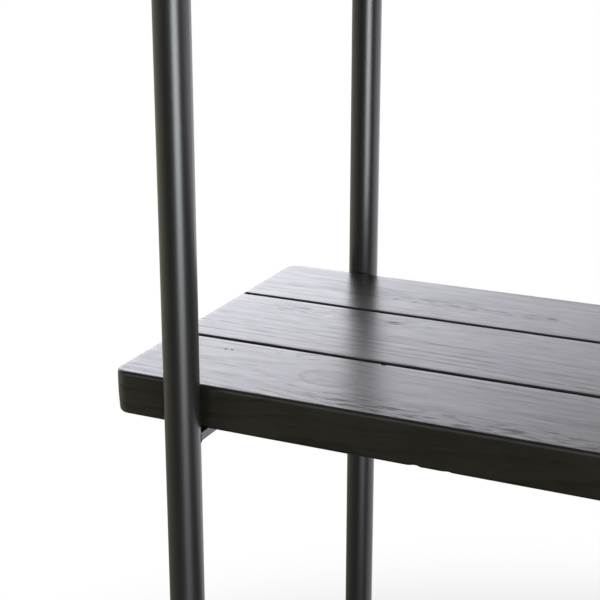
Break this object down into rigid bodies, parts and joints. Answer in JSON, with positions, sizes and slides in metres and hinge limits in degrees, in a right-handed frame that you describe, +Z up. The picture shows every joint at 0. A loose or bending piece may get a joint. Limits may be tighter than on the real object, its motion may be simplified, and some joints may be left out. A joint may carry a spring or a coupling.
{
  "type": "shelving unit",
  "caption": "Free-standing open shelving unit: black-stained plank shelves on flat cross bars welded between round black tube uprights, with levelling feet.",
  "frame": {"origin": "on the floor, under the middle of the unit", "axes": "+Z up, X along the shelves with +X to the right seen from the front, the front faces -Y"},
  "size_m": [1, 0.356, 1.822],
  "materials": {
    "black_coat": "satin black powder coat",
    "stained_wood": "black stained softwood, satin lacquered",
    "black_plastic": "moulded black plastic",
    "foot_plastic": "moulded dark plastic with a fine texture",
    "zinc_steel": "zinc plated steel",
    "screw_steel": "black zinc plated steel"
  },
  "bodies": {
    "frame": {"front_left_foot_insert": "black_plastic", "front_left_top_cap": "black_plastic", "front_left_upright": "black_coat", "front_right_foot_insert": "black_plastic", "front_right_top_cap": "black_plastic", "front_right_upright": "black_coat", "left_frame_welds": "black_coat", "rear_left_foot_insert": "black_plastic", "rear_left_top_cap": "black_plastic", "rear_left_upright": "black_coat", "rear_right_foot_insert": "black_plastic", "rear_right_top_cap": "black_plastic", "rear_right_upright": "black_coat", "right_frame_welds": "black_coat", "shelf_1_front_plank": "stained_wood", "shelf_1_left_bar": "black_coat", "shelf_1_middle_plank": "stained_wood", "shelf_1_rear_plank": "stained_wood", "shelf_1_right_bar": "black_coat", "shelf_1_screws": "screw_steel", "shelf_2_front_plank": "stained_wood", "shelf_2_left_bar": "black_coat", "shelf_2_middle_plank": "stained_wood", "shelf_2_rear_plank": "stained_wood", "shelf_2_right_bar": "black_coat", "shelf_2_screws": "screw_steel", "shelf_3_front_plank": "stained_wood", "shelf_3_left_bar": "black_coat", "shelf_3_middle_plank": "stained_wood", "shelf_3_rear_plank": "stained_wood", "shelf_3_right_bar": "black_coat", "shelf_3_screws": "screw_steel", "shelf_4_front_plank": "stained_wood", "shelf_4_left_bar": "black_coat", "shelf_4_middle_plank": "stained_wood", "shelf_4_rear_plank": "stained_wood", "shelf_4_right_bar": "black_coat", "shelf_4_screws": "screw_steel", "shelf_5_front_plank": "stained_wood", "shelf_5_left_bar": "black_coat", "shelf_5_middle_plank": "stained_wood", "shelf_5_rear_plank": "stained_wood", "shelf_5_right_bar": "black_coat", "shelf_5_screws": "screw_steel"},
    "front_left_pad": {"front_left_foot_pad": "foot_plastic"},
    "front_left_stem": {"front_left_foot_stem": "zinc_steel"},
    "rear_left_pad": {"rear_left_foot_pad": "foot_plastic"},
    "rear_left_stem": {"rear_left_foot_stem": "zinc_steel"},
    "front_right_pad": {"front_right_foot_pad": "foot_plastic"},
    "front_right_stem": {"front_right_foot_stem": "zinc_steel"},
    "rear_right_pad": {"rear_right_foot_pad": "foot_plastic"},
    "rear_right_stem": {"rear_right_foot_stem": "zinc_steel"}
  },
  "joints": [
    {"name": "front_left_foot_lift", "type": "slide", "parent": "frame", "child": "front_left_pad", "axis": [0, 0, -1], "range_m": [0, 0.012]},
    {"name": "front_left_foot_turn", "type": "hinge", "parent": "front_left_pad", "child": "front_left_stem", "pos_m": [-0.435, -0.163, 0.013], "axis": [0, 0, -1], "range_deg": [0, 3456]},
    {"name": "rear_left_foot_lift", "type": "slide", "parent": "frame", "child": "rear_left_pad", "axis": [0, 0, -1], "range_m": [0, 0.012]},
    {"name": "rear_left_foot_turn", "type": "hinge", "parent": "rear_left_pad", "child": "rear_left_stem", "pos_m": [-0.435, 0.163, 0.013], "axis": [0, 0, -1], "range_deg": [0, 3456]},
    {"name": "front_right_foot_lift", "type": "slide", "parent": "frame", "child": "front_right_pad", "axis": [0, 0, -1], "range_m": [0, 0.012]},
    {"name": "front_right_foot_turn", "type": "hinge", "parent": "front_right_pad", "child": "front_right_stem", "pos_m": [0.435, -0.163, 0.013], "axis": [0, 0, -1], "range_deg": [0, 3456]},
    {"name": "rear_right_foot_lift", "type": "slide", "parent": "frame", "child": "rear_right_pad", "axis": [0, 0, -1], "range_m": [0, 0.012]},
    {"name": "rear_right_foot_turn", "type": "hinge", "parent": "rear_right_pad", "child": "rear_right_stem", "pos_m": [0.435, 0.163, 0.013], "axis": [0, 0, -1], "range_deg": [0, 3456]}
  ],
  "couplings": [
    {"joint": "front_left_foot_turn", "follows": "front_left_foot_lift", "rad_per_m": 5026.5},
    {"joint": "rear_left_foot_turn", "follows": "rear_left_foot_lift", "rad_per_m": 5026.5},
    {"joint": "front_right_foot_turn", "follows": "front_right_foot_lift", "rad_per_m": 5026.5},
    {"joint": "rear_right_foot_turn", "follows": "rear_right_foot_lift", "rad_per_m": 5026.5}
  ]
}
